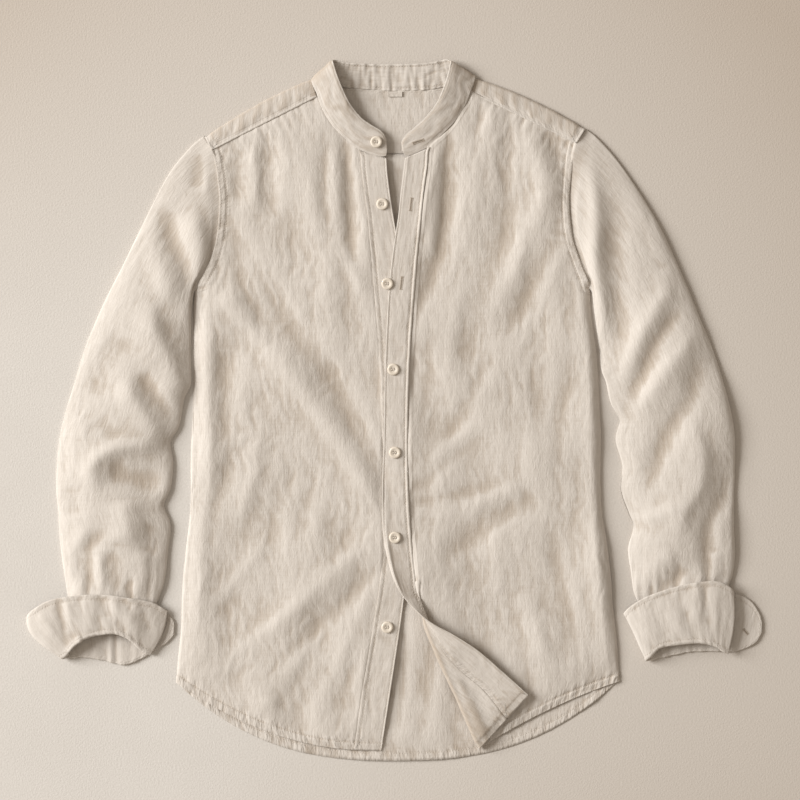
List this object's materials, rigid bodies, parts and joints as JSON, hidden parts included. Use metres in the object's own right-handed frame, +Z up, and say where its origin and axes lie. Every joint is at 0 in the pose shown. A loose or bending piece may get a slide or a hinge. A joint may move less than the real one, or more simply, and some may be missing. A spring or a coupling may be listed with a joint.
{
  "type": "band collar linen shirt",
  "caption": "Long-sleeved linen shirt with a standing band collar, buttoned front, turned-back cuffs and a curved hem, laid flat with one front corner folded back.",
  "frame": {"origin": "on the surface that the shirt lies on, under the back panel, on the centre line below the chest", "axes": "+Z up from the surface, +Y towards the collar, +X to the wearer's left, so the fronts face up"},
  "size_m": [0.8665, 0.8282, 0.0192],
  "materials": {
    "back": "washed linen, plain weave with slubs, matte",
    "yoke": "washed linen, plain weave with slubs, matte",
    "right_front": "washed linen, plain weave with slubs, matte",
    "left_front": "washed linen, plain weave with slubs, matte",
    "button_stand": "washed linen, plain weave with slubs, matte",
    "buttonhole_placket": "washed linen, plain weave with slubs, matte",
    "collar_band": "washed linen, plain weave with slubs, matte",
    "right_sleeve": "washed linen, plain weave with slubs, matte",
    "left_sleeve": "washed linen, plain weave with slubs, matte",
    "right_cuff": "washed linen, plain weave with slubs, matte",
    "left_cuff": "washed linen, plain weave with slubs, matte",
    "neck_label": "bare woven tab",
    "button_1": "shell-like, softly polished",
    "button_2": "shell-like, softly polished",
    "button_3": "shell-like, softly polished",
    "button_4": "shell-like, softly polished",
    "button_5": "shell-like, softly polished",
    "button_6": "shell-like, softly polished",
    "button_7": "shell-like, softly polished"
  },
  "bodies": {
    "root": {"back": "back", "yoke": "yoke", "right_front": "right_front", "left_front": "left_front", "button_stand": "button_stand", "buttonhole_placket": "buttonhole_placket", "collar_band": "collar_band", "right_sleeve": "right_sleeve", "left_sleeve": "left_sleeve", "right_cuff": "right_cuff", "left_cuff": "left_cuff", "neck_label": "neck_label", "button_1": "button_1", "button_2": "button_2", "button_3": "button_3", "button_4": "button_4", "button_5": "button_5", "button_6": "button_6", "button_7": "button_7"}
  },
  "joints": []
}
